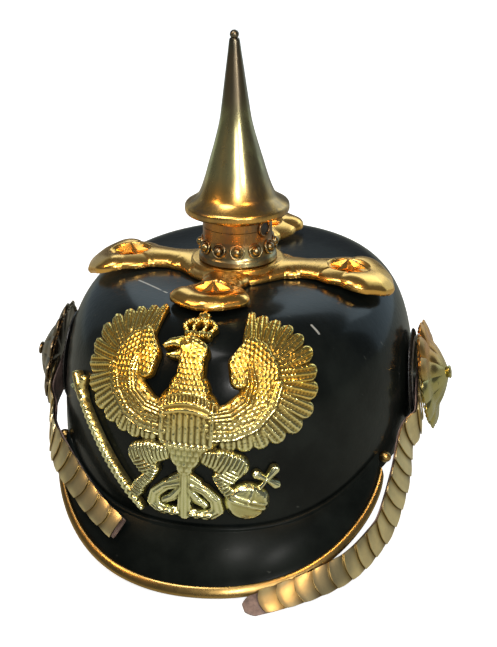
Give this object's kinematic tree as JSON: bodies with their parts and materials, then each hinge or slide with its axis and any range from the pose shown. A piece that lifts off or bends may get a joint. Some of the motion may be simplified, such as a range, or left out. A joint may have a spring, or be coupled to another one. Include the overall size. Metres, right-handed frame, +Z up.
{
  "type": "spiked helmet",
  "caption": "Black lacquered leather parade helmet with a brass spike on a cross base, eagle plate, side rosettes and chin scales, standing on its peak and neck guard",
  "frame": {"origin": "centre of the helmet's bounding box in plan, at the height of the surface that it stands on", "axes": "+Z up, the front and its eagle plate face -Y, +X is to the right as seen from the front"},
  "size_m": [0.2308, 0.2886, 0.258],
  "materials": {
    "lacquered_leather": "glossy black lacquer",
    "strap_leather": "worn dark brown",
    "brass": "polished",
    "pale_brass": "satin",
    "silver": "satin silver plate",
    "cockade_black": "black paint"
  },
  "bodies": {
    "root": {"skull": "lacquered_leather", "front_peak": "lacquered_leather", "neck_guard": "lacquered_leather", "peak_trim": "brass", "trim_stud_left": "brass", "trim_stud_right": "brass", "top_cross": "brass", "arm_star_front": "brass", "arm_star_back": "brass", "arm_star_left": "brass", "arm_star_right": "brass", "spike_collar": "brass", "spike": "brass", "eagle_plate": "brass", "cockade_left": "cockade_black", "cockade_right": "cockade_black", "cockade_ring_left": "silver", "cockade_ring_right": "silver", "rosette_left": "brass", "rosette_right": "brass", "chin_scales_left": "pale_brass", "chin_scales_right": "pale_brass", "chin_strap_left": "strap_leather", "chin_strap_right": "strap_leather"}
  },
  "joints": []
}
